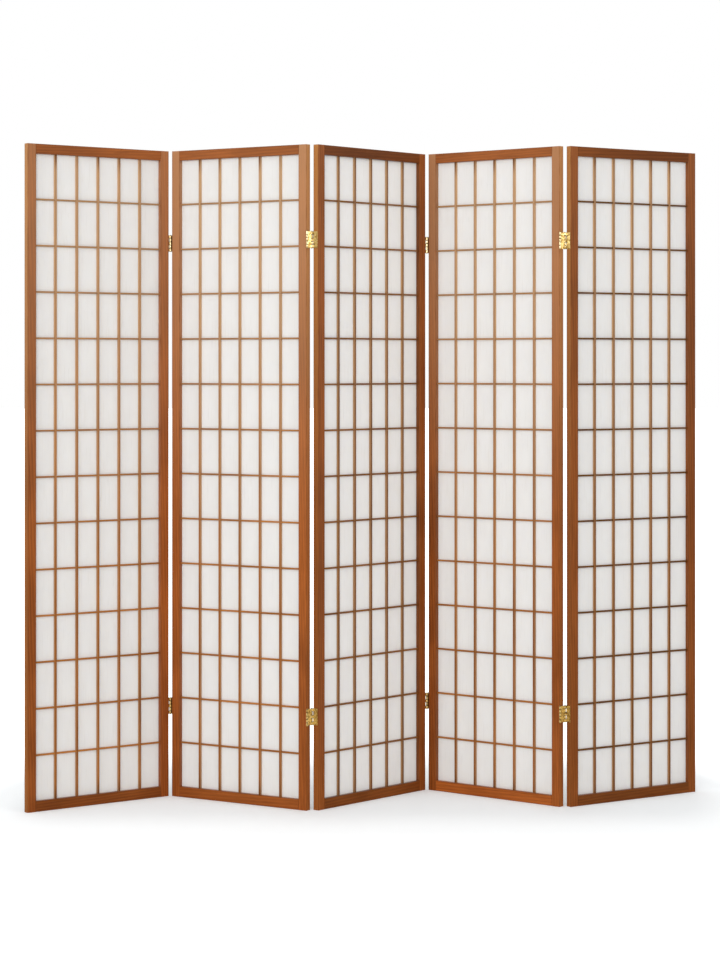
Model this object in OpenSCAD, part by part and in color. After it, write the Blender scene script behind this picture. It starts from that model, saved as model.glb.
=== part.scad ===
// Folding screen of five lattice panels with a paper backing. Double-action hinges
// join the panels edge to edge, with one pin in front of the gap and one behind it,
// so each fold can close either way. X runs along the standing screen, Y goes to its
// back and Z is up. The screen stands half folded, in a zigzag.

/* [Panel] */
// Height of a panel from the floor to its top
panel_h = 1784.4; // [1200:0.1:2200]
// Width of one panel
panel_w = 444.5; // [300:0.5:600]
// Thickness of the frame, front to back
frame_t = 18; // [16:0.5:30]
// Width of a stile, seen from the front
stile_w = 26; // [22:0.5:50]
// Height of the top rail
top_rail_h = 26.5; // [22:0.5:60]
// Height of the bottom rail
bottom_rail_h = 28.5; // [22:0.5:60]
// Bevel on the long edges of the frame
ease = 0.8; // [0.3:0.1:1.5]

/* [Joinery] */
// Length of a rail tenon
tenon_l = 15; // [8:0.5:20]
// Thickness of a rail tenon
tenon_t = 6; // [4:0.5:8]
// Shoulder above and below a rail tenon
tenon_shoulder = 5; // [4.5:0.5:8]
// Clearance on each side of a glued joint
joint_fit = 0.1; // [0.05:0.05:0.3]

/* [Lattice] */
// Number of upright bars in a panel
upright_count = 5; // [2:1:8]
// Number of cross bars in a panel
cross_count = 13; // [4:1:16]
// Width of an upright bar, seen from the front
upright_w = 6; // [4:0.5:10]
// Height of a cross bar, seen from the front
cross_h = 4.5; // [3:0.5:10]
// Depth of a bar, front to back
bar_d = 6; // [4:0.5:7]
// Distance of the bars behind the front of the frame
bar_inset = 6; // [3:0.5:7]
// Length of a bar end that sits in the frame
bar_tongue = 4; // [2:0.5:6]

/* [Paper] */
// Thickness of the paper
paper_t = 0.5; // [0.3:0.1:1]
// Width of the paper edge in the frame's groove
paper_tuck = 4; // [2:0.5:6]

/* [Hinges] */
// Gap between the edges of two panels in line
hinge_gap = 7; // [6.5:0.1:9]
// Distance of a pin in front of or behind the frame
pin_out = 2.5; // [1.5:0.1:4]
// Height of a hinge
hinge_h = 45; // [35:0.5:70]
// Height of the middle of the lower hinges above the floor
hinge_rise = 250; // [150:1:400]
// Distance of the middle of the upper hinges below the top
hinge_drop = 255; // [150:1:400]
// Thickness of a hinge leaf
leaf_t = 1.2; // [1:0.1:1.5]
// Margin between a leaf and the far face of the frame
leaf_margin = 2; // [1:0.5:4]
// Outer diameter of a knuckle
knuckle_d = 5.6; // [4.6:0.1:6]
// Diameter of a hinge pin
pin_d = 2.5; // [2:0.1:3]
// Clearance between a pin and its knuckles, on the radius
pin_play = 0.05; // [0.03:0.01:0.08]
// Gap between two knuckles along the pin
knuckle_play = 0.3; // [0.2:0.05:0.5]
// Diameter of a pin's riveted head
rivet_d = 4.2; // [3.4:0.1:4.6]
// Height of a pin's riveted head
rivet_h = 0.9; // [0.5:0.1:1.5]

/* [Screws] */
// Diameter of a screw head
screw_head_d = 4.8; // [4:0.1:6]
// Diameter of a screw shank
screw_d = 2.4; // [2:0.1:3]
// Length of a screw
screw_l = 13; // [8:0.5:16]
// Distance between the two screws of a leaf
screw_pitch = 30; // [16:0.5:32]
// Clearance around a screw
screw_fit = 0.05; // [0.03:0.01:0.1]
// Width of the cross recess in a screw head
recess_w = 0.6; // [0.4:0.05:0.8]
// Depth of the cross recess in a screw head
recess_deep = 0.9; // [0.5:0.1:1.2]

/* [Pose] */
// Angle between the first panel and the line of the screen
first_angle = 36.6; // [0:0.1:60]
// Angle folded between the first and second panels
fold_12_angle = 68.7; // [0:0.1:120]
// Angle folded between the second and third panels
fold_23_angle = 80.2; // [0:0.1:120]
// Angle folded between the third and fourth panels
fold_34_angle = 87.1; // [0:0.1:120]
// Angle folded between the fourth and fifth panels
fold_45_angle = 72.6; // [0:0.1:120]

/* [Hidden] */
$fn = 32;
folds = [fold_12_angle, fold_23_angle, fold_34_angle, fold_45_angle];
panel_count = len(folds) + 1;

PANEL_NODES = ["stile_left", "stile_right", "rail_top", "rail_bottom", "upright_bars",
    "cross_bars", "paper", "hinge_leaves", "leaf_screws"];
FOLD_NODES = ["hinge_links", "hinge_pins"];

wood = "#a8653a";
pale_wood = "#b87a4a";
paper_white = "#e9e7e0";
brass = "#d9b13f";

past = 1; // length by which a cut runs past the face that it opens
opening_w = panel_w - 2 * stile_w;
opening_h = panel_h - top_rail_h - bottom_rail_h;
tenon_y = (frame_t - tenon_t) / 2;
paper_y = bar_inset + bar_d;
upright_pitch = (opening_w + upright_w) / (upright_count + 1);
cross_pitch = (opening_h + cross_h) / (cross_count + 1);
upright_xs = [for (k = [1:upright_count]) stile_w + k * upright_pitch - upright_w];
cross_zs = [for (k = [1:cross_count]) bottom_rail_h + k * cross_pitch - cross_h];
hinge_zs = [hinge_rise, panel_h - hinge_drop];
knuckle_count = 5;
knuckle_h = hinge_h / knuckle_count;
front_pin_y = -pin_out;
back_pin_y = frame_t + pin_out;

// A plan point turned about the origin
function turned(p, angle) = [p[0] * cos(angle) - p[1] * sin(angle), p[0] * sin(angle) + p[1] * cos(angle)];

// A point of a panel, in plan, for a panel whose pose is its front left corner and its angle
function placed(pose, p) = [pose[0], pose[1]] + turned(p, pose[2]);

// Odd folds close the front faces together on the front pins, even folds the back faces
function folds_forward(k) = k % 2 == 1;
function open_pin_y(k) = folds_forward(k) ? front_pin_y : back_pin_y;

// Pose of the panel to the right of a fold, swung about the fold's open pin
function next_pose(pose, k) =
    let (angle = pose[2] + (folds_forward(k) ? -folds[k - 1] : folds[k - 1]),
        pin = placed(pose, [panel_w + hinge_gap / 2, open_pin_y(k)]),
        corner = pin - turned([-hinge_gap / 2, open_pin_y(k)], angle))
    [corner[0], corner[1], angle];
function panel_pose(i) = i == 1 ? [0, 0, first_angle] : next_pose(panel_pose(i - 1), i - 1);

// Pose of the middle leaf of a fold, whose closed pin keeps it along one of the panels
function link_pose(k) =
    let (panel = folds_forward(k) ? panel_pose(k + 1) : panel_pose(k),
        middle = placed(panel, [folds_forward(k) ? -hinge_gap / 2 : panel_w + hinge_gap / 2, 0]))
    [middle[0], middle[1], panel[2]];

// Section of a stick, or plan of a panel, with its long edges bevelled
function eased_outline(width, depth) = [[ease, 0], [width - ease, 0], [width, ease], [width, depth - ease],
    [width - ease, depth], [ease, depth], [0, depth - ease], [0, ease]];

// Plan points that bound the standing screen, each with the radius round it
outline = concat(
    [for (i = [1:panel_count], p = eased_outline(panel_w, frame_t)) [placed(panel_pose(i), p), 0]],
    [for (k = [1:panel_count - 1], y = [front_pin_y, back_pin_y])
        [placed(link_pose(k), [0, y]), knuckle_d / 2]]);
centre = [for (axis = [0, 1])
    (min([for (o = outline) o[0][axis] - o[1]]) + max([for (o = outline) o[0][axis] + o[1]])) / 2];

module at_pose(pose) {
    translate([pose[0] - centre[0], pose[1] - centre[1], 0]) rotate(pose[2]) children();
}

module at_panel(i) {
    at_pose(panel_pose(i)) children();
}

// The same piece at the top of a panel
module on_top() {
    translate([0, 0, panel_h]) mirror([0, 0, 1]) children();
}

// The same piece on the right-hand side of a panel
module on_right() {
    translate([panel_w, 0, 0]) mirror([1, 0, 0]) children();
}

// A stick along Z with bevelled long edges
module eased_stick(length, width, depth) {
    linear_extrude(length) polygon(eased_outline(width, depth));
}

// Hole for a screw driven in through a leaf that lies on the face x = 0
module screw_hole() {
    rotate([0, 90, 0]) translate([0, 0, leaf_t - screw_l - screw_fit])
        cylinder(h = screw_l + screw_fit + past, d = screw_d + 2 * screw_fit);
}

// Places of the screws of the leaves on a panel's right-hand edge
module at_leaf_screws() {
    for (z = hinge_zs, side = [-1, 1])
        translate([panel_w, frame_t / 2, z + side * screw_pitch / 2]) children();
}

module at_leaves() {
    for (z = hinge_zs) translate([panel_w, 0, z]) children();
}

// Turns what is made for a panel's right-hand edge and front pin to its left-hand edge and back pin
module on_left_edge() {
    translate([panel_w, frame_t, 0]) rotate(180) children();
}

// Places its children at every hinged edge of a panel
module at_hinged_edges(i) {
    if (i < panel_count) children();
    if (i > 1) on_left_edge() children();
}

// Height of the tenon of a rail
function tenon_h(rail_h) = rail_h - 2 * tenon_shoulder;

// Mortise in the left stile for the tenon of a bottom rail
module mortise(rail_h) {
    translate([stile_w - tenon_l - joint_fit, tenon_y - joint_fit, tenon_shoulder - joint_fit])
        cube([tenon_l + joint_fit + past, tenon_t + 2 * joint_fit, tenon_h(rail_h) + 2 * joint_fit]);
}

// The left stile, with its outer edge on x = 0
module stile() {
    difference() {
        eased_stick(panel_h, stile_w, frame_t);
        mortise(bottom_rail_h);
        on_top() mortise(top_rail_h);
        for (z = cross_zs)
            translate([stile_w - bar_tongue - joint_fit, bar_inset - joint_fit, z - joint_fit])
                cube([bar_tongue + joint_fit + past, bar_d + 2 * joint_fit, cross_h + 2 * joint_fit]);
        translate([stile_w - paper_tuck - joint_fit, paper_y - joint_fit,
            bottom_rail_h - paper_tuck - joint_fit])
            cube([paper_tuck + joint_fit + past, paper_t + 2 * joint_fit,
                opening_h + 2 * (paper_tuck + joint_fit)]);
    }
}

module stile_left(i) {
    color(wood) at_panel(i) difference() {
        stile();
        if (i > 1) on_left_edge() at_leaf_screws() screw_hole();
    }
}

module stile_right(i) {
    color(wood) at_panel(i) difference() {
        on_right() stile();
        if (i < panel_count) at_leaf_screws() screw_hole();
    }
}

// A bottom rail between the stiles, with a tenon at each end
module rail(rail_h) {
    difference() {
        union() {
            translate([stile_w, 0, 0]) rotate([90, 0, 90]) eased_stick(opening_w, frame_t, rail_h);
            translate([stile_w - tenon_l, tenon_y, tenon_shoulder])
                cube([opening_w + 2 * tenon_l, tenon_t, tenon_h(rail_h)]);
        }
        for (x = upright_xs)
            translate([x - joint_fit, bar_inset - joint_fit, rail_h - bar_tongue - joint_fit])
                cube([upright_w + 2 * joint_fit, bar_d + 2 * joint_fit, bar_tongue + joint_fit + past]);
        translate([stile_w - tenon_l - past, paper_y - joint_fit, rail_h - paper_tuck - joint_fit])
            cube([opening_w + 2 * (tenon_l + past), paper_t + 2 * joint_fit, paper_tuck + joint_fit + past]);
    }
}

module rail_bottom(i) {
    color(wood) at_panel(i) rail(bottom_rail_h);
}

module rail_top(i) {
    color(wood) at_panel(i) on_top() rail(top_rail_h);
}

// Upright bars run through, notched from the back at every crossing
module upright_bars(i) {
    color(pale_wood) at_panel(i) for (x = upright_xs) translate([x, bar_inset, 0]) difference() {
        translate([0, 0, bottom_rail_h - bar_tongue]) cube([upright_w, bar_d, opening_h + 2 * bar_tongue]);
        for (z = cross_zs)
            translate([-past, bar_d / 2, z - joint_fit])
                cube([upright_w + 2 * past, bar_d / 2 + past, cross_h + 2 * joint_fit]);
    }
}

// Cross bars are notched from the front, so both sets lie in one plane
module cross_bars(i) {
    color(pale_wood) at_panel(i) for (z = cross_zs) translate([0, bar_inset, z]) difference() {
        translate([stile_w - bar_tongue, 0, 0]) cube([opening_w + 2 * bar_tongue, bar_d, cross_h]);
        for (x = upright_xs)
            translate([x - joint_fit, -past, -past])
                cube([upright_w + 2 * joint_fit, bar_d / 2 + past, cross_h + 2 * past]);
    }
}

// The sheet lies against the back of the lattice, with its edges in the frame's groove
module paper(i) {
    color(paper_white) at_panel(i)
        translate([stile_w - paper_tuck, paper_y, bottom_rail_h - paper_tuck])
            cube([opening_w + 2 * paper_tuck, paper_t, opening_h + 2 * paper_tuck]);
}

// Every second knuckle round a pin, from the first or the second one up
module knuckles(first) {
    for (n = [first:2:knuckle_count - 1]) {
        low = n == 0 ? 0 : knuckle_play / 2;
        high = n == knuckle_count - 1 ? 0 : knuckle_play / 2;
        translate([0, 0, n * knuckle_h + low - hinge_h / 2])
            cylinder(h = knuckle_h - low - high, d = knuckle_d);
    }
}

// Room for the knuckles of the other leaf, cut from a leaf's edge
module knuckle_room(first) {
    room_d = knuckle_d + 2 * knuckle_play;
    for (n = [first:2:knuckle_count - 1]) {
        low = n == 0 ? past : knuckle_play / 2;
        high = n == knuckle_count - 1 ? past : knuckle_play / 2;
        translate([0, 0, n * knuckle_h - low - hinge_h / 2])
            cylinder(h = knuckle_h + low + high, d = room_d);
    }
}

module pin_bore() {
    translate([0, 0, -hinge_h / 2 - past]) cylinder(h = hinge_h + 2 * past, d = pin_d + 2 * pin_play);
}

// Taper of a screw head below the face of the leaf, widened by a fit
module screw_taper(fit) {
    sink = (screw_head_d - screw_d) / 2;
    rotate([0, 90, 0]) translate([0, 0, leaf_t - sink])
        cylinder(h = sink, d1 = screw_d + 2 * fit, d2 = screw_head_d + 2 * fit);
}

// Outer leaf on a panel's right-hand edge, curled round the front pin
module leaf() {
    difference() {
        union() {
            translate([0, front_pin_y, -hinge_h / 2])
                cube([leaf_t, frame_t - leaf_margin - front_pin_y, hinge_h]);
            translate([hinge_gap / 2, front_pin_y, 0]) knuckles(0);
        }
        translate([hinge_gap / 2, front_pin_y, 0]) {
            knuckle_room(1);
            pin_bore();
        }
        translate([-past, front_pin_y - past, 0]) for (n = [1:2:knuckle_count - 1])
            translate([0, 0, n * knuckle_h - knuckle_play / 2 - hinge_h / 2])
                cube([leaf_t + 2 * past, past + knuckle_d / 2, knuckle_h + knuckle_play]);
    }
}

module hinge_leaves(i) {
    color(brass) at_panel(i) at_hinged_edges(i) difference() {
        at_leaves() leaf();
        at_leaf_screws() {
            screw_hole();
            screw_taper(screw_fit);
        }
    }
}

// Countersunk screw with a cross recess as wide as its shank
module screw() {
    sink = (screw_head_d - screw_d) / 2;
    difference() {
        union() {
            rotate([0, 90, 0]) translate([0, 0, leaf_t - screw_l]) cylinder(h = screw_l - sink, d = screw_d);
            screw_taper(0);
        }
        for (turn = [45, 135]) rotate([turn, 0, 0])
            translate([leaf_t - recess_deep, -screw_d / 2, -recess_w / 2])
                cube([recess_deep + past, screw_d, recess_w]);
    }
}

module leaf_screws(i) {
    color(brass) at_panel(i) at_hinged_edges(i) at_leaf_screws() screw();
}

// Middle leaf between the two pins of a hinge
module link() {
    difference() {
        union() {
            translate([-leaf_t / 2, front_pin_y, -hinge_h / 2])
                cube([leaf_t, back_pin_y - front_pin_y, hinge_h]);
            for (y = [front_pin_y, back_pin_y]) translate([0, y, 0]) knuckles(1);
        }
        for (y = [front_pin_y, back_pin_y]) translate([0, y, 0]) {
            knuckle_room(0);
            pin_bore();
        }
    }
}

module hinge_links(k) {
    color(brass) at_pose(link_pose(k)) for (z = hinge_zs) translate([0, 0, z]) link();
}

// A pin with a riveted head at each end
module pin() {
    head_z = hinge_h / 2 + knuckle_play / 2;
    translate([0, 0, -head_z]) cylinder(h = 2 * head_z, d = pin_d);
    for (side = [0, 1]) mirror([0, 0, side]) translate([0, 0, head_z])
        cylinder(h = rivet_h, d1 = rivet_d, d2 = pin_d);
}

module hinge_pins(k) {
    color(brass) at_pose(link_pose(k)) for (z = hinge_zs, y = [front_pin_y, back_pin_y])
        translate([0, y, z]) pin();
}

for (i = [1:panel_count]) {
    stile_left(i);
    stile_right(i);
    rail_top(i);
    rail_bottom(i);
    upright_bars(i);
    cross_bars(i);
    paper(i);
    hinge_leaves(i);
    leaf_screws(i);
}
for (k = [1:panel_count - 1]) {
    hinge_links(k);
    hinge_pins(k);
}
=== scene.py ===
import math

import bmesh
import bpy
from mathutils import Matrix, Vector


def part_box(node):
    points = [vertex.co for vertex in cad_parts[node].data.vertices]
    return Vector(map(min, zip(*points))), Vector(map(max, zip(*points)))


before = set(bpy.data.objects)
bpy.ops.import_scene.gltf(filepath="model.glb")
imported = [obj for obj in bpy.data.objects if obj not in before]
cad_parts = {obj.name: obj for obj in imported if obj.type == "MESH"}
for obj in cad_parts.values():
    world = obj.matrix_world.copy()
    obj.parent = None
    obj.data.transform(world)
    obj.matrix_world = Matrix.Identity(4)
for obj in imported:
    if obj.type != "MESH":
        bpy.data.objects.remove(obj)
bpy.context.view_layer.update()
print("frame loaded:", len(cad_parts), "nodes")

panelNumbers = range(1, 6)   # from left to right


# Where a panel stands in the zigzag, read from its sheet of paper
def panelPlace(i):
    low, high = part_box(f"paper_{i}")
    size = high - low
    angle = math.atan2(size.y, size.x)
    return {"middle": (low + high) / 2, "angle": angle if i % 2 else -angle,
            "paperWidth": math.hypot(size.x, size.y), "paperHeight": size.z}


panels = {i: panelPlace(i) for i in panelNumbers}


def grey(tone):
    return (tone, tone, tone)


def pick(look, *keys):
    return {key: look[key] for key in keys}


# Node helpers: x and y only place the node in the editor
def newNode(tree, kind, x, y, **settings):
    node = tree.nodes.new(kind)
    node.location = (x, y)
    for name, value in settings.items():
        setattr(node, name, value)
    return node


# Links a socket where the value is another node's output, and otherwise sets it
def feed(tree, socket, value):
    if isinstance(value, bpy.types.NodeSocket):
        tree.links.new(value, socket)
    elif socket.type == "RGBA":
        socket.default_value = (*value, 1.0)
    else:
        socket.default_value = value


def mathNode(tree, operation, x, y, *values):
    node = newNode(tree, "ShaderNodeMath", x, y, operation=operation)
    for socket, value in zip(node.inputs, values):
        feed(tree, socket, value)
    return node.outputs[0]


def vectorNode(tree, operation, x, y, *values):
    node = newNode(tree, "ShaderNodeVectorMath", x, y, operation=operation)
    for socket, value in zip(node.inputs, values):
        feed(tree, socket, value)
    return node.outputs["Value" if operation == "LENGTH" else "Vector"]


def split(tree, x, y, vector):
    node = newNode(tree, "ShaderNodeSeparateXYZ", x, y)
    feed(tree, node.inputs[0], vector)
    return list(node.outputs)


def join(tree, x, y, *values):
    node = newNode(tree, "ShaderNodeCombineXYZ", x, y)
    for socket, value in zip(node.inputs, values):
        feed(tree, socket, value)
    return node.outputs[0]


def objectVector(tree, x, y):
    return newNode(tree, "ShaderNodeTexCoord", x, y).outputs["Object"]


def mixColors(tree, x, y, factor, a, b, blend="MIX"):
    node = newNode(tree, "ShaderNodeMix", x, y, data_type="RGBA", blend_type=blend, clamp_factor=True)
    for index, value in ((0, factor), (6, a), (7, b)):   # its sockets for a factor and two colours
        feed(tree, node.inputs[index], value)
    return node.outputs[2]


def ramp(tree, x, y, value, low, high, toLow=0.0, toHigh=1.0, smooth=True):
    node = newNode(tree, "ShaderNodeMapRange", x, y, interpolation_type="SMOOTHSTEP" if smooth else "LINEAR")
    feed(tree, node.inputs["Value"], value)
    for title, end in (("From Min", low), ("From Max", high), ("To Min", toLow), ("To Max", toHigh)):
        feed(tree, node.inputs[title], end)
    return node.outputs[0]


# How far a value lies outside a band, which reaches half to each side of its middle
def outside(tree, x, y, value, middle, half):
    offset = mathNode(tree, "SUBTRACT", x, y, value, middle)
    return mathNode(tree, "SUBTRACT", x + 300, y, mathNode(tree, "ABSOLUTE", x + 150, y, offset), half)


# Noise that is squeezed along each axis by its own factor, so that it may run long one way
def squeezedNoise(tree, x, y, vector, squeeze, detail, roughness=0.5, distortion=0.0):
    node = newNode(tree, "ShaderNodeTexNoise", x + 200, y)
    feed(tree, node.inputs["Vector"], vectorNode(tree, "MULTIPLY", x, y, vector, squeeze))
    settings = (("Scale", 1.0), ("Detail", detail), ("Roughness", roughness), ("Distortion", distortion))
    for title, value in settings:
        feed(tree, node.inputs[title], value)
    return node.outputs["Fac"]


def addBump(tree, x, y, shader, height, look):
    bump = newNode(tree, "ShaderNodeBump", x, y)
    feed(tree, bump.inputs["Height"], height)
    feed(tree, bump.inputs["Strength"], look["bumpStrength"])
    feed(tree, bump.inputs["Distance"], look["bumpDistance"])
    feed(tree, shader.inputs["Normal"], bump.outputs["Normal"])


def newGroup(name, inputs, outputs):
    group = bpy.data.node_groups.new(name, "ShaderNodeTree")
    for title, kind, default in inputs:
        socket = group.interface.new_socket(title, in_out="INPUT", socket_type=kind)
        if default is not None:
            socket.default_value = default
    for title in outputs:
        group.interface.new_socket(title, in_out="OUTPUT", socket_type="NodeSocketFloat")
    inlet = newNode(group, "NodeGroupInput", -1400, 0)
    outlet = newNode(group, "NodeGroupOutput", 900, 0)
    return group, inlet.outputs, outlet.inputs


def placeGroup(tree, name, x, y, values):
    node = newNode(tree, "ShaderNodeGroup", x, y, node_tree=bpy.data.node_groups[name])
    for title, value in values.items():
        feed(tree, node.inputs[title], value)
    return node.outputs


def newMaterial(name, values):
    material = bpy.data.materials.new(name)
    material.use_nodes = True
    tree = material.node_tree
    shader = tree.nodes["Principled BSDF"]
    for title, value in values.items():
        feed(tree, shader.inputs[title], value)
    return material, tree, shader


# A panel's own coordinates: its middle at the centre, X along its width and Z up.
# For a stick that lies across, X points down and Z runs along the width.
def panelVector(tree, i, alongWidth=False, x=-1500, y=0):
    turn = Matrix.Rotation(-panels[i]["angle"], 3, "Z")
    if alongWidth:
        turn = Matrix.Rotation(-math.pi / 2, 3, "Y") @ turn
    mapping = newNode(tree, "ShaderNodeMapping", x + 200, y, vector_type="POINT")
    values = {"Vector": objectVector(tree, x, y), "Rotation": turn.to_euler("XYZ"),
              "Location": -(turn @ panels[i]["middle"])}
    for title, value in values.items():
        feed(tree, mapping.inputs[title], value)
    return mapping.outputs["Vector"]


def dress(node, material):
    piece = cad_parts[node]
    piece.data.materials.clear()
    piece.data.materials.append(material)


# Straight grain of a softwood stick, along the Z of the vector it is given
grainLook = {
    "seedShift": (0.37, 0.23, 1.71),       # metres that the grain moves along each axis for a seed of 1
    "bandSqueeze": (230.0, 230.0, 6.9),    # growth rings, cut lengthwise
    "bandWaves": {"Scale": 0.32, "Distortion": 5.0, "Detail": 2.0, "Detail Scale": 0.35},
    "fibres": {"squeeze": (900.0, 900.0, 10.8), "detail": 3.0, "roughness": 0.6},
    "clouds": {"squeeze": (9.0, 9.0, 3.15), "detail": 2.0, "distortion": 0.4},
    "contrast": (0.3, 0.7),                # of the fibres and the clouds
}


def makeGrainGroup():
    look = grainLook
    group, given, result = newGroup(
        "stickGrain",
        [("Vector", "NodeSocketVector", None), ("Seed", "NodeSocketFloat", 0.0)],
        ["Bands", "Fibres", "Clouds"])
    shift = join(group, -1200, -200, *(
        mathNode(group, "MULTIPLY", -1400, -200 - 150 * row, given["Seed"], metres)
        for row, metres in enumerate(look["seedShift"])))
    moved = vectorNode(group, "ADD", -1000, 0, given["Vector"], shift)
    bands = newNode(group, "ShaderNodeTexWave", -500, 300,
                    wave_type="BANDS", bands_direction="DIAGONAL", wave_profile="SIN")
    feed(group, bands.inputs["Vector"], vectorNode(group, "MULTIPLY", -800, 300, moved, look["bandSqueeze"]))
    for title, value in look["bandWaves"].items():
        feed(group, bands.inputs[title], value)
    feed(group, result["Bands"], bands.outputs["Fac"])
    fibres = squeezedNoise(group, -800, 0, moved, **look["fibres"])
    feed(group, result["Fibres"], ramp(group, -200, 0, fibres, *look["contrast"]))
    clouds = squeezedNoise(group, -800, -300, moved, **look["clouds"])
    feed(group, result["Clouds"], ramp(group, -200, -300, clouds, *look["contrast"]))


# Uneven wear on the long edges of a stick, whose section lies across the Z of the vector it is given, and
# masks of its narrow sides: Inner is the one towards the middle of the panel, and Side the other or both.
# The Side mask carries painted highlight, the Inner mask painted shade, and the wear painted edge shade too.
wearLook = {
    "full": 0.3,                        # share of the reach, from the sharp corner, that is all worn
    "sideDepth": (-0.0006, -0.0002),    # a narrow side's mask fades in over these depths below it
    "patches": {"squeeze": (70.0, 70.0, 16.0), "detail": 4.0},
    "patchContrast": (0.35, 0.65),
    "patchShares": (0.35, 1.0),         # how much of the wear is left between the patches, and in them
}


def makeWearGroup():
    look = wearLook
    group, given, result = newGroup(
        "edgeWear",
        [("Vector", "NodeSocketVector", None), ("Middle X", "NodeSocketFloat", 0.0),
         ("Middle Y", "NodeSocketFloat", 0.0), ("Half Width", "NodeSocketFloat", 0.01),
         ("Half Depth", "NodeSocketFloat", 0.01), ("Reach", "NodeSocketFloat", 0.0026)],
        ["Wear", "Side", "Inner"])
    across, depth, _ = split(group, -1200, 0, given["Vector"])
    pastSide = outside(group, -1000, 100, across, given["Middle X"], given["Half Width"])
    pastFace = outside(group, -1000, -100, depth, given["Middle Y"], given["Half Depth"])
    toCorner = vectorNode(group, "LENGTH", -300, 0, join(group, -500, 0, pastSide, pastFace))
    near = ramp(group, -100, 0, mathNode(group, "DIVIDE", -200, 0, toCorner, given["Reach"]),
                look["full"], 1.0, 1.0, 0.0)
    patches = squeezedNoise(group, -500, -300, given["Vector"], **look["patches"])
    uneven = ramp(group, -100, -300, patches, *look["patchContrast"], *look["patchShares"])
    feed(group, result["Wear"], mathNode(group, "MULTIPLY", 100, 0, near, uneven))

    sides = ramp(group, 100, 300, pastSide, *look["sideDepth"])
    offset = mathNode(group, "SUBTRACT", -1000, 500, across, given["Middle X"])
    outward = mathNode(group, "MULTIPLY", -800, 500, offset, given["Middle X"])
    isInner = mathNode(group, "LESS_THAN", -600, 500, outward, 0.0)
    inner = mathNode(group, "MULTIPLY", 300, 500, sides, isInner)
    feed(group, result["Inner"], inner)
    feed(group, result["Side"], mathNode(group, "SUBTRACT", 500, 300, sides, inner))


# Stained and varnished wood, for every stick
woodLook = {
    "dark": (0.160, 0.034, 0.005),
    "light": (0.388, 0.102, 0.0186),
    "cloudShare": 0.46,        # what moves a spot from dark to light
    "bandShare": 0.30,
    "stickShare": 0.16,
    "line": (0.09, 0.019, 0.003),
    "lineReach": 0.45,         # the fibres below this are drawn as dark lines
    "lineShare": 0.55,
    "gloss": (1.0, 0.8, 0.5),
    "ior": 1.39,
    "roughness": (0.30, 0.40),
    "edgeShade": (0.17, 0.046, 0.009),   # painted shade along the rounded edges, which are also worn dull
    "wornRoughness": 0.58,
    "seedSpread": 31.0,        # keeps the bars of one panel apart from those of the next
    "bumpStrength": 0.25,
    "bumpDistance": 0.0002,
}


# A random number for each stick, or for each bar of a row whose bars are a step apart
def stickNumber(tree, vector, seed, step):
    number = newNode(tree, "ShaderNodeTexWhiteNoise", -800, -500, noise_dimensions="1D")
    if step:
        cell = mathNode(tree, "DIVIDE", -1050, -500, split(tree, -1200, -500, vector)[0], step)
        middle = 0.5   # a cell has its bar in its middle
        cell = mathNode(tree, "ADD", -950, -500, cell, middle + seed * woodLook["seedSpread"])
        seed = mathNode(tree, "FLOOR", -880, -500, cell)
    feed(tree, number.inputs["W"], seed)
    return number.outputs["Value"]


# The same vector, with X measured from the nearest bar of such a row
def fromNearestBar(tree, vector, step):
    across, depth, along = split(tree, -800, 800, vector)
    nearest = mathNode(tree, "ROUND", -500, 800, mathNode(tree, "DIVIDE", -650, 800, across, step))
    place = mathNode(tree, "MULTIPLY", -350, 800, nearest, step)
    return join(tree, -100, 800, mathNode(tree, "SUBTRACT", -200, 900, across, place), depth, along)


def stainColor(tree, grain, number, shade):
    look = woodLook
    bands = mathNode(tree, "MULTIPLY", -400, 350, grain["Bands"], look["bandShare"])
    tone = mathNode(tree, "MULTIPLY_ADD", -300, 200, grain["Clouds"], look["cloudShare"], bands)
    own = mathNode(tree, "MULTIPLY", -300, 50, number, look["stickShare"])
    tone = mathNode(tree, "ADD", -200, 200, tone, own)
    color = mixColors(tree, 0, 200, tone, look["dark"], look["light"])
    lines = ramp(tree, -200, -100, grain["Fibres"], 0.0, look["lineReach"], look["lineShare"], 0.0)
    color = mixColors(tree, 150, 150, lines, color, look["line"])
    return mixColors(tree, 300, 150, 1.0, color, shade, "MULTIPLY")


# The upright bars darken towards the rails, each by its own share
def darkenEnds(tree, color, height, number, ends):
    atBottom = ramp(tree, 0, 1000, height, ends["low"], ends["low"] + ends["reach"], 1.0, 0.0)
    atTop = ramp(tree, 0, 1200, height, ends["high"] - ends["reach"], ends["high"])
    atEnd = mathNode(tree, "MAXIMUM", 200, 1000, atBottom, atTop)
    share = ramp(tree, 200, 1200, number, 0.0, 1.0, *ends["shares"])
    dark = mathNode(tree, "MULTIPLY", 350, 1000, atEnd, share)
    return mixColors(tree, 500, 250, dark, color, ends["color"])
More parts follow.
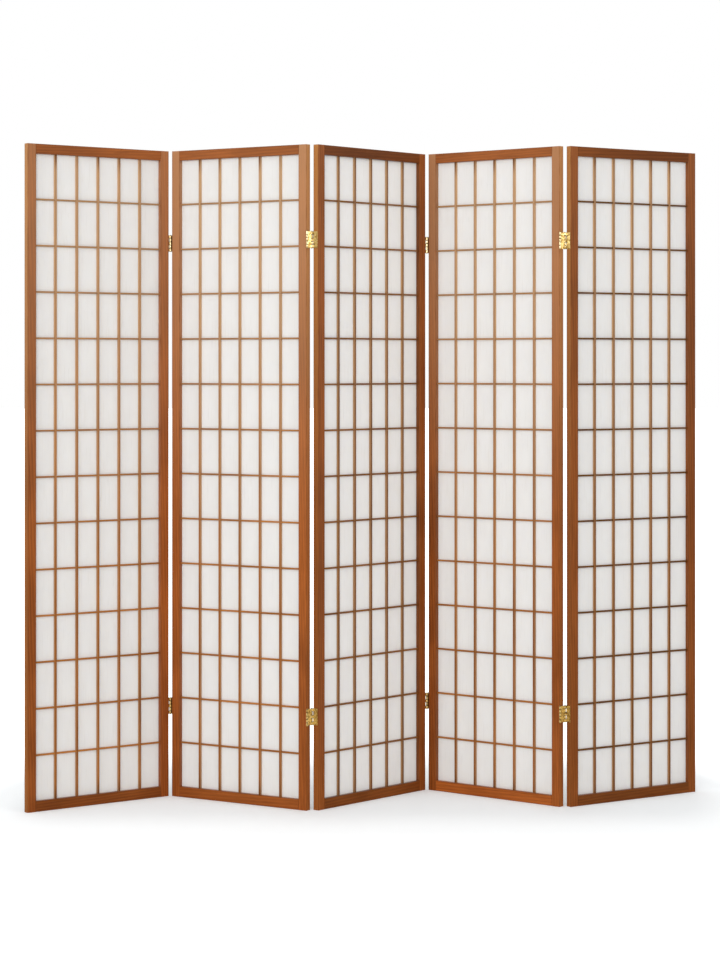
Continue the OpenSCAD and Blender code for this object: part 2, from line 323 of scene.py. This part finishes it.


# The finish gives how a kind of stick differs: its painted sheen towards the top, painted highlight on its
# sides, painted shade on its inner faces, the darker ends of the bars, and its worn edges with their painted
# shade
def makeWood(name, i, seed, shade, finish, section, alongWidth=False, step=None):
    look = woodLook
    material, tree, shader = newMaterial(name, {"IOR": look["ior"], "Specular Tint": look["gloss"]})
    vector = panelVector(tree, i, alongWidth)
    number = stickNumber(tree, vector, seed, step)
    grain = placeGroup(tree, "stickGrain", -600, 0, {
        "Vector": vector, "Seed": mathNode(tree, "ADD", -700, -300, number, seed)})
    wear = placeGroup(tree, "edgeWear", 200, 600, {
        "Vector": fromNearestBar(tree, vector, step) if step else vector, **section})
    height = split(tree, -200, 500, objectVector(tree, -400, 500))[2]

    color = stainColor(tree, grain, number, shade)
    # painted sheen: the colour turns paler towards the top
    paintedSheen = ramp(tree, 0, 500, height, *finish["sheenHeights"], 0.0, finish["sheen"])
    color = mixColors(tree, 450, 250, paintedSheen, color, finish["paintedSheen"])
    if "ends" in finish:
        color = darkenEnds(tree, color, height, number, finish["ends"])
    # painted highlight on the narrow sides, stronger towards the top
    if "side" in finish:
        share = ramp(tree, 200, 800, height, *finish["sideHighlightHeights"], *finish["sideHighlightShares"])
        share = mathNode(tree, "MULTIPLY", 400, 800, wear["Side"], share)
        color = mixColors(tree, 550, 400, share, color, finish["side"])
    # painted shade on the faces round the paper
    if "innerShadeTone" in finish:
        color = mixColors(tree, 620, 400, wear["Inner"], color, grey(finish["innerShadeTone"]), "MULTIPLY")
    # painted shade darkens the worn edges
    edgeShade = mathNode(tree, "MULTIPLY", 400, 600, wear["Wear"], finish["edgeShadeShare"])
    feed(tree, shader.inputs["Base Color"], mixColors(tree, 700, 250, edgeShade, color, look["edgeShade"]))

    varnish = ramp(tree, 100, -150, grain["Fibres"], 0.0, 1.0, *look["roughness"])
    rubbed = mathNode(tree, "MULTIPLY", 300, -50, wear["Wear"], look["wornRoughness"])
    feed(tree, shader.inputs["Roughness"], mathNode(tree, "MAXIMUM", 450, -150, varnish, rubbed))
    addBump(tree, 300, -300, shader, grain["Fibres"], look)
    return material


# Middle and half sizes of the section of a stick or bar, in its panel's coordinates
def stickSection(look, middle, width):
    return {"Middle X": middle, "Middle Y": look["middleDepth"], "Half Width": width / 2,
            "Half Depth": look["depth"] / 2, "Reach": look["wearReach"]}


# Stiles and rails. A value that differs between the panels is given by the panel's number.
frameLook = {
    "panelWidth": 0.4445,
    "stileWidth": 0.026,
    "depth": 0.018,
    "middleDepth": -0.00325,   # middle of the depth, measured from the middle of the sheet of paper
    "seeds": {"stileLeft": 1.3, "stileRight": 7.7, "railTop": 13.1, "railBottom": 19.9},
    "tones": {
        "stileLeft": {1: 1.07, 2: 1.12, 3: 0.89, 4: 1.0, 5: 0.82},
        "stileRight": {1: 1.37, 2: 1.15, 3: 1.04, 4: 1.04, 5: 0.82},
        "railTop": {1: 1.05, 2: 1.05, 3: 0.58, 4: 1.08, 5: 0.66},
        "railBottom": {1: 0.88, 2: 1.1, 3: 0.78, 4: 1.55, 5: 0.62},
    },
    "paintedSheen": (0.49, 0.243, 0.116),   # painted sheen: the varnish is paler towards the top, more on some panels
    "sheenHeights": (0.60, 1.85),
    "sheenShares": {1: 0.44, 2: 0.80, 3: 0.07, 4: 0.70, 5: 0.08},
    "railSheen": 0.15,                # the rails get little of this painted sheen
    "side": (0.58, 0.27, 0.085),     # painted highlight: the outer sides of the stiles are paler, more towards the top
    "sideHighlightHeights": (0.6, 1.9),
    "sideHighlightShares": (0.12, 0.60),
    "innerShadeTones": {1: 1.0, 2: 0.88, 3: 0.62, 4: 0.86, 5: 0.98},   # painted shade on the faces round the paper
    "wearReach": 0.0026,
    # share of painted shade on the worn edges
    "edgeShadeShare": 0.70,
}


def dressFrame(i):
    look = frameLook
    finish = {**pick(look, "paintedSheen", "sheenHeights", "edgeShadeShare"), "innerShadeTone": look["innerShadeTones"][i]}
    stileFinish = {**finish, **pick(look, "side", "sideHighlightHeights", "sideHighlightShares"), "sheen": look["sheenShares"][i]}
    railFinish = {**finish, "sheen": look["sheenShares"][i] * look["railSheen"]}

    def stickWood(kind, ownFinish, middle, width, alongWidth=False):
        shade = grey(look["tones"][kind][i])
        section = stickSection(look, middle, width)
        return makeWood(f"{kind}Wood_{i}", i, look["seeds"][kind] + i, shade, ownFinish, section, alongWidth)

    for kind, node, side in (("stileLeft", "stile_left", -1), ("stileRight", "stile_right", 1)):
        middle = side * (look["panelWidth"] - look["stileWidth"]) / 2
        dress(f"{node}_{i}", stickWood(kind, stileFinish, middle, look["stileWidth"]))
    for kind, node in (("railTop", "rail_top"), ("railBottom", "rail_bottom")):
        low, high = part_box(f"{node}_{i}")
        middle = panels[i]["middle"].z - (low.z + high.z) / 2
        dress(f"{node}_{i}", stickWood(kind, railFinish, middle, high.z - low.z, alongWidth=True))


# Bars of the lattices. They are sanded thin and get the most painted sheen towards the top, and the bars of
# panels 3 and 5 are darker.
latticeLook = {
    "depth": 0.006,
    "middleDepth": -0.00325,
    "paperTuck": 0.004,      # how far the sheet of paper reaches into the frame on each side
    # the painted sheen on the bars grows between these heights
    "sheenHeights": (0.40, 1.75),
    "wearReach": 0.0012,
    # share of painted shade on the worn edges
    "edgeShadeShare": 0.30,
    "upright": {
        "count": 5,
        "width": 0.006,
        "seed": 27.3,
        "shade": (1.13, 1.49, 1.70),
        "tones": {1: 0.99, 2: 0.98, 3: 0.54, 4: 0.92, 5: 0.61},
        "paintedSheen": (0.54, 0.345, 0.195),
        "sheenShares": {1: 0.60, 2: 0.76, 3: 0.16, 4: 0.70, 5: 0.42},
    },
    "cross": {
        "count": 13,
        "width": 0.0045,
        "seed": 33.7,
        "shade": (1.45, 2.02, 2.28),
        "tones": {1: 0.97, 2: 0.98, 3: 0.55, 4: 0.95, 5: 0.30},
        "paintedSheen": (0.375, 0.248, 0.132),
        "sheenShares": {1: 0.65, 2: 0.60, 3: 0.10, 4: 0.60, 5: 0.05},
    },
    "side": (0.70, 0.43, 0.22),   # painted highlight on the sides of the upright bars
    "sideHighlightHeights": (0.6, 1.9),
    "sideHighlightShares": (0.36, 0.58),
    "endColor": (0.13, 0.04, 0.01),   # their ends darken towards the rails
    "endReach": 0.05,
    "endShares": (0.35, 0.95),
}


def dressLattice(i):
    look = latticeLook
    _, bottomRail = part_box(f"rail_bottom_{i}")
    topRail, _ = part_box(f"rail_top_{i}")
    ends = {"low": bottomRail.z, "high": topRail.z,
            "color": look["endColor"], "reach": look["endReach"], "shares": look["endShares"]}
    uprightFinish = {"ends": ends, **pick(look, "side", "sideHighlightHeights", "sideHighlightShares")}
    for kind, span, ownFinish in (("upright", "paperWidth", uprightFinish), ("cross", "paperHeight", {})):
        bars = look[kind]
        finish = {"paintedSheen": bars["paintedSheen"], "sheen": bars["sheenShares"][i], **ownFinish,
                  **pick(look, "sheenHeights", "edgeShadeShare")}
        shade = tuple(c * bars["tones"][i] for c in bars["shade"])
        section = stickSection(look, 0.0, bars["width"])
        opening = panels[i][span] - 2 * look["paperTuck"]
        step = (opening + bars["width"]) / (bars["count"] + 1)
        dress(f"{kind}_bars_{i}", makeWood(
            f"{kind}BarWood_{i}", i, bars["seed"] + i, shade, finish, section, kind == "cross", step))


# Fibrous paper, with long faint fibres that run up and down
paperLook = {
    "color": (0.797, 0.781, 0.764),
    "thin": (0.811, 0.797, 0.781),
    "clouds": {"squeeze": (30.0, 30.0, 14.0), "detail": 4.0},   # thin places
    "cloudContrast": (0.35, 0.65),
    "fibre": (0.70, 0.675, 0.64),
    "streaks": {"squeeze": (420.0, 420.0, 9.0), "detail": 3.0},
    "streakRamp": (0.56, 0.74, 0.0, 0.40),    # between these two levels the share grows from 0 to the last
    "threads": {"squeeze": (160.0, 160.0, 22.0), "detail": 6.0},
    "threadRamp": (0.60, 0.68, 0.0, 0.20),
    "tones": {1: 0.965, 2: 0.975, 3: 1.035, 4: 1.0, 5: 0.975},   # painted light and shade: each sheet is made a little lighter or darker to even out how the panels are lit
    "shader": {
        "Roughness": 0.85,
        "IOR": 1.35,
        "Subsurface Weight": 0.6,      # light may pass into the sheet and out of its other face
        "Subsurface Scale": 0.0006,
        "Subsurface Radius": (1.0, 0.95, 0.85),
    },
    "bumpStrength": 0.2,
    "bumpDistance": 0.0002,
}


def makePaper(i):
    look = paperLook
    material, tree, shader = newMaterial(f"screenPaper_{i}", look["shader"])
    vector = panelVector(tree, i)
    clouds = squeezedNoise(tree, -1000, 200, vector, **look["clouds"])
    streaks = squeezedNoise(tree, -1000, -100, vector, **look["streaks"])
    threads = squeezedNoise(tree, -1000, -400, vector, **look["threads"])
    thin = ramp(tree, -500, 200, clouds, *look["cloudContrast"])
    color = mixColors(tree, -300, 200, thin, look["color"], look["thin"])
    for x, fibres, shape in ((-100, streaks, look["streakRamp"]), (50, threads, look["threadRamp"])):
        color = mixColors(tree, x, 100, ramp(tree, x - 400, -200, fibres, *shape), color, look["fibre"])
    # painted light and shade per sheet
    color = mixColors(tree, 200, 100, 1.0, color, grey(look["tones"][i]), "MULTIPLY")
    feed(tree, shader.inputs["Base Color"], color)
    addBump(tree, 100, -300, shader, streaks, look)
    return material


# Bright plated brass, with fine rolling marks, a little tarnish and painted shade in the seams between the
# knuckles
brassLook = {
    "color": (0.95, 0.83, 0.53),
    "dull": (0.38, 0.25, 0.06),
    "spots": {"squeeze": (150.0, 150.0, 150.0), "detail": 4.0},
    "spotContrast": (0.44, 0.62),
    "tarnish": {"pin": 0.6, "screw": 0.5, "leaf": 0.8, "link": 0.8},
    "roughness": (0.24, 0.38),
    "roughnessContrast": (0.3, 0.7),
    "marks": {"squeeze": (300.0, 300.0, 2600.0), "detail": 2.0},
    # painted shade in the seams between the knuckles
    "seamShade": (0.07, 0.045, 0.015),
    "seamShadeShare": 0.95,
    "bumpStrength": 0.08,
    "bumpDistance": 0.0001,
}

hingeLook = {
    "height": 0.045,
    "knuckles": 5,
    "pinAcross": 0.22575,       # place of the pins, measured from the middle of the sheet of paper
    "pinMiddleDepth": -0.00325,
    "pinHalfSpan": 0.0115,
    "knuckleReach": (0.0029, 0.0036),   # the painted shade ends between these distances from a pin's middle
    "seamHalf": (0.0005, 0.0015),       # and between these from a seam's
}


# Painted shade in the seams between the knuckles of the hinges on the edges of panel i
def knuckleSeams(tree, i):
    look = hingeLook
    across, depth, rise = split(tree, -1200, -700, panelVector(tree, i, x=-1700, y=-700))
    pastPin = outside(tree, -1050, -600, across, 0.0, look["pinAcross"])
    pastSpan = outside(tree, -1050, -750, depth, look["pinMiddleDepth"], look["pinHalfSpan"])
    toPin = vectorNode(tree, "LENGTH", -500, -650, join(tree, -650, -650, pastPin, pastSpan))
    onKnuckle = ramp(tree, -350, -650, toPin, *look["knuckleReach"], 1.0, 0.0)

    low, high = (corner.z - panels[i]["middle"].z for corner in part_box(f"hinge_leaves_{i}"))
    toUpper = high - look["height"] - low   # from the lower hinge to the upper one
    isUpper = mathNode(tree, "GREATER_THAN", -1050, -950, rise, 0.0)
    shift = mathNode(tree, "MULTIPLY", -900, -950, isUpper, toUpper)
    rise = mathNode(tree, "SUBTRACT", -750, -950, rise, shift)
    step = look["height"] / look["knuckles"]
    turns = mathNode(tree, "DIVIDE", -450, -950, mathNode(tree, "SUBTRACT", -600, -950, rise, low), step)
    toSeam = mathNode(tree, "SUBTRACT", -200, -950, turns, mathNode(tree, "ROUND", -350, -1100, turns))
    toSeam = mathNode(tree, "ABSOLUTE", -100, -950, toSeam)
    toSeam = mathNode(tree, "MULTIPLY", -50, -1050, toSeam, step)
    seam = ramp(tree, 0, -950, toSeam, *look["seamHalf"], 1.0, 0.0)
    return mathNode(tree, "MULTIPLY", 150, -800, onKnuckle, seam)


def makeBrass(name, kind, panel=None):
    look = brassLook
    material, tree, shader = newMaterial(name, {"Metallic": 1.0})
    vector = objectVector(tree, -1200, 0)
    spots = squeezedNoise(tree, -1000, 200, vector, **look["spots"])
    tarnish = ramp(tree, -500, 200, spots, *look["spotContrast"], 0.0, look["tarnish"][kind])
    color = mixColors(tree, -200, 200, tarnish, look["color"], look["dull"])
    if panel:
        # painted shade in the seams between the knuckles
        seams = mathNode(tree, "MULTIPLY", 300, -800, knuckleSeams(tree, panel), look["seamShadeShare"])
        color = mixColors(tree, 0, 200, seams, color, look["seamShade"])
    feed(tree, shader.inputs["Base Color"], color)
    roughness = ramp(tree, -200, -50, spots, *look["roughnessContrast"], *look["roughness"])
    feed(tree, shader.inputs["Roughness"], roughness)
    marks = squeezedNoise(tree, -1000, -200, vector, **look["marks"])
    addBump(tree, -100, -300, shader, marks, look)
    return material


makeGrainGroup()
makeWearGroup()
for i in panelNumbers:
    dressFrame(i)
    dressLattice(i)
    dress(f"paper_{i}", makePaper(i))
print("panels dressed")

pinBrass = makeBrass("pinBrass", "pin")
screwBrass = makeBrass("screwBrass", "screw")
for i in panelNumbers:
    dress(f"hinge_leaves_{i}", makeBrass(f"leafBrass_{i}", "leaf", i))
    dress(f"leaf_screws_{i}", screwBrass)
for left, right in zip(panelNumbers, panelNumbers[1:]):
    nearer = right if left % 2 else left   # the panel that a middle leaf lies along at rest
    dress(f"hinge_links_{left}{right}", makeBrass(f"linkBrass_{left}{right}", "link", nearer))
    dress(f"hinge_pins_{left}{right}", pinBrass)
print("hinges dressed")

# The camera stands 7 m in front of the screen at chest height and looks level, and its lens is shifted down
cameraLook = {
    "place": (-0.051, -6.992, 1.200),
    "pitch": 0.046,
    "turn": -0.246,
    "focalPixels": 2551.1,
    "axisRow": 360.4,      # row of the image, from the top, that the lens points at
    "imageHeight": 960,
    "sensor": 36.0,
    "farClip": 200.0,
}


def makeCamera():
    look = cameraLook
    data = bpy.data.cameras.new("camera")
    data.sensor_width = look["sensor"]
    data.lens = look["focalPixels"] / look["imageHeight"] * look["sensor"]
    data.shift_y = (look["axisRow"] - look["imageHeight"] / 2) / look["imageHeight"]
    data.clip_end = look["farClip"]
    camera = bpy.data.objects.new("camera", data)
    camera.location = look["place"]
    camera.rotation_euler = (math.radians(90 + look["pitch"]), 0, math.radians(look["turn"]))
    bpy.context.scene.collection.objects.link(camera)
    bpy.context.scene.camera = camera


# Tall soft boxes stand at both front corners, clear of what the folds would shade, and a wide one in front
lampLook = {
    "sideLeft": {"place": (-4.6, -5.2, 2.8), "aim": (0, 0, 1.2), "size": (1.4, 2.2), "power": 66},
    "sideRight": {"place": (4.6, -5.4, 2.8), "aim": (0, 0, 1.2), "size": (1.4, 2.2), "power": 55},
    "front": {"place": (-1.6, -8.0, 2.6), "aim": (0, 0, 0.9), "size": (2.5, 2.5), "power": 160},
}


def makeLamp(name, look):
    data = bpy.data.lights.new(name, "AREA")
    data.shape = "RECTANGLE"
    data.size, data.size_y = look["size"]
    data.energy = look["power"]
    lamp = bpy.data.objects.new(name, data)
    place = Vector(look["place"])
    lamp.location = place
    lamp.rotation_euler = (Vector(look["aim"]) - place).to_track_quat("-Z", "Y").to_euler()
    bpy.context.scene.collection.objects.link(lamp)


# The room is white for the camera and plain pale light for the object
roomLook = {
    "color": (1.0, 1.0, 1.0),
    "ambient": 0.70,
    "inGloss": 0.60,
}


def makeRoom():
    look = roomLook
    world = bpy.data.worlds.new("room")
    world.use_nodes = True
    bpy.context.scene.world = world
    tree = world.node_tree
    background = tree.nodes["Background"]
    feed(tree, background.inputs["Color"], look["color"])
    rays = newNode(tree, "ShaderNodeLightPath", -800, 0)
    extra = look["inGloss"] - look["ambient"]
    level = mathNode(tree, "MULTIPLY", -600, 0, rays.outputs["Is Glossy Ray"], extra)
    level = mathNode(tree, "ADD", -400, 0, level, look["ambient"])
    level = mathNode(tree, "MAXIMUM", -200, 0, level, rays.outputs["Is Camera Ray"])
    feed(tree, background.inputs["Strength"], level)


# The floor keeps the screen's shadow, with painted shade added near the screen, and turns plain white
# further out.
# Distances on it are measured from a line below the screen, whose ends lie at lineEnd to each side.
floorLook = {
    "color": (0.865, 0.893, 0.908),
    "inGloss": (0.72, 0.52, 0.17),
    "white": (1.0, 1.0, 1.0),
    "shader": {"Roughness": 0.9, "IOR": 1.2},
    "radius": 60.0,
    "corners": 64,
    "lineEnd": 0.80,
    "pastEnd": 2.2,               # how much more a distance past the line's ends counts
    "paintedShadeReach": (0.19, 0.41),   # painted shade: the lift is smallest near the screen and grows over these distances
    "paintedShadeLift": (0.155, 0.285),
    "whiteReach": (0.45, 1.0),    # and over these the floor turns plain white
    "whiteLift": 0.75,
}


def floorLift(tree, look):
    along, across, _ = split(tree, -1100, -300, objectVector(tree, -1200, -300))
    past = outside(tree, -1450, -450, along, 0.0, look["lineEnd"])
    past = mathNode(tree, "MAXIMUM", -1000, -450, past, 0.0)
    past = mathNode(tree, "MULTIPLY", -900, -450, past, look["pastEnd"])
    distance = vectorNode(tree, "LENGTH", -800, -300, join(tree, -900, -300, past, across))
    # painted shade round the screen: less lift near it
    shade = ramp(tree, -600, -300, distance, *look["paintedShadeReach"], *look["paintedShadeLift"], smooth=False)
    white = ramp(tree, -600, -450, distance, *look["whiteReach"], 0.0, look["whiteLift"])
    return mathNode(tree, "ADD", -400, -300, shade, white)


def makeFloor():
    look = floorLook
    shape = bmesh.new()
    bmesh.ops.create_circle(shape, cap_ends=True, segments=look["corners"], radius=look["radius"])
    mesh = bpy.data.meshes.new("floor")
    shape.to_mesh(mesh)
    shape.free()
    floor = bpy.data.objects.new("floor", mesh)
    bpy.context.scene.collection.objects.link(floor)
    material, tree, shader = newMaterial("floorWhite", {**look["shader"], "Emission Color": look["white"]})
    rays = newNode(tree, "ShaderNodeLightPath", -600, -600)
    color = mixColors(tree, -300, 0, rays.outputs["Is Glossy Ray"], look["color"], look["inGloss"])
    feed(tree, shader.inputs["Base Color"], color)
    glow = mathNode(tree, "MULTIPLY", -200, -300, rays.outputs["Is Camera Ray"], floorLift(tree, look))
    feed(tree, shader.inputs["Emission Strength"], glow)
    mesh.materials.append(material)


makeCamera()
for name, look in lampLook.items():
    makeLamp(name, look)
makeRoom()
makeFloor()
bpy.context.scene.view_settings.view_transform = "Standard"
print("camera, lamps and floor made")
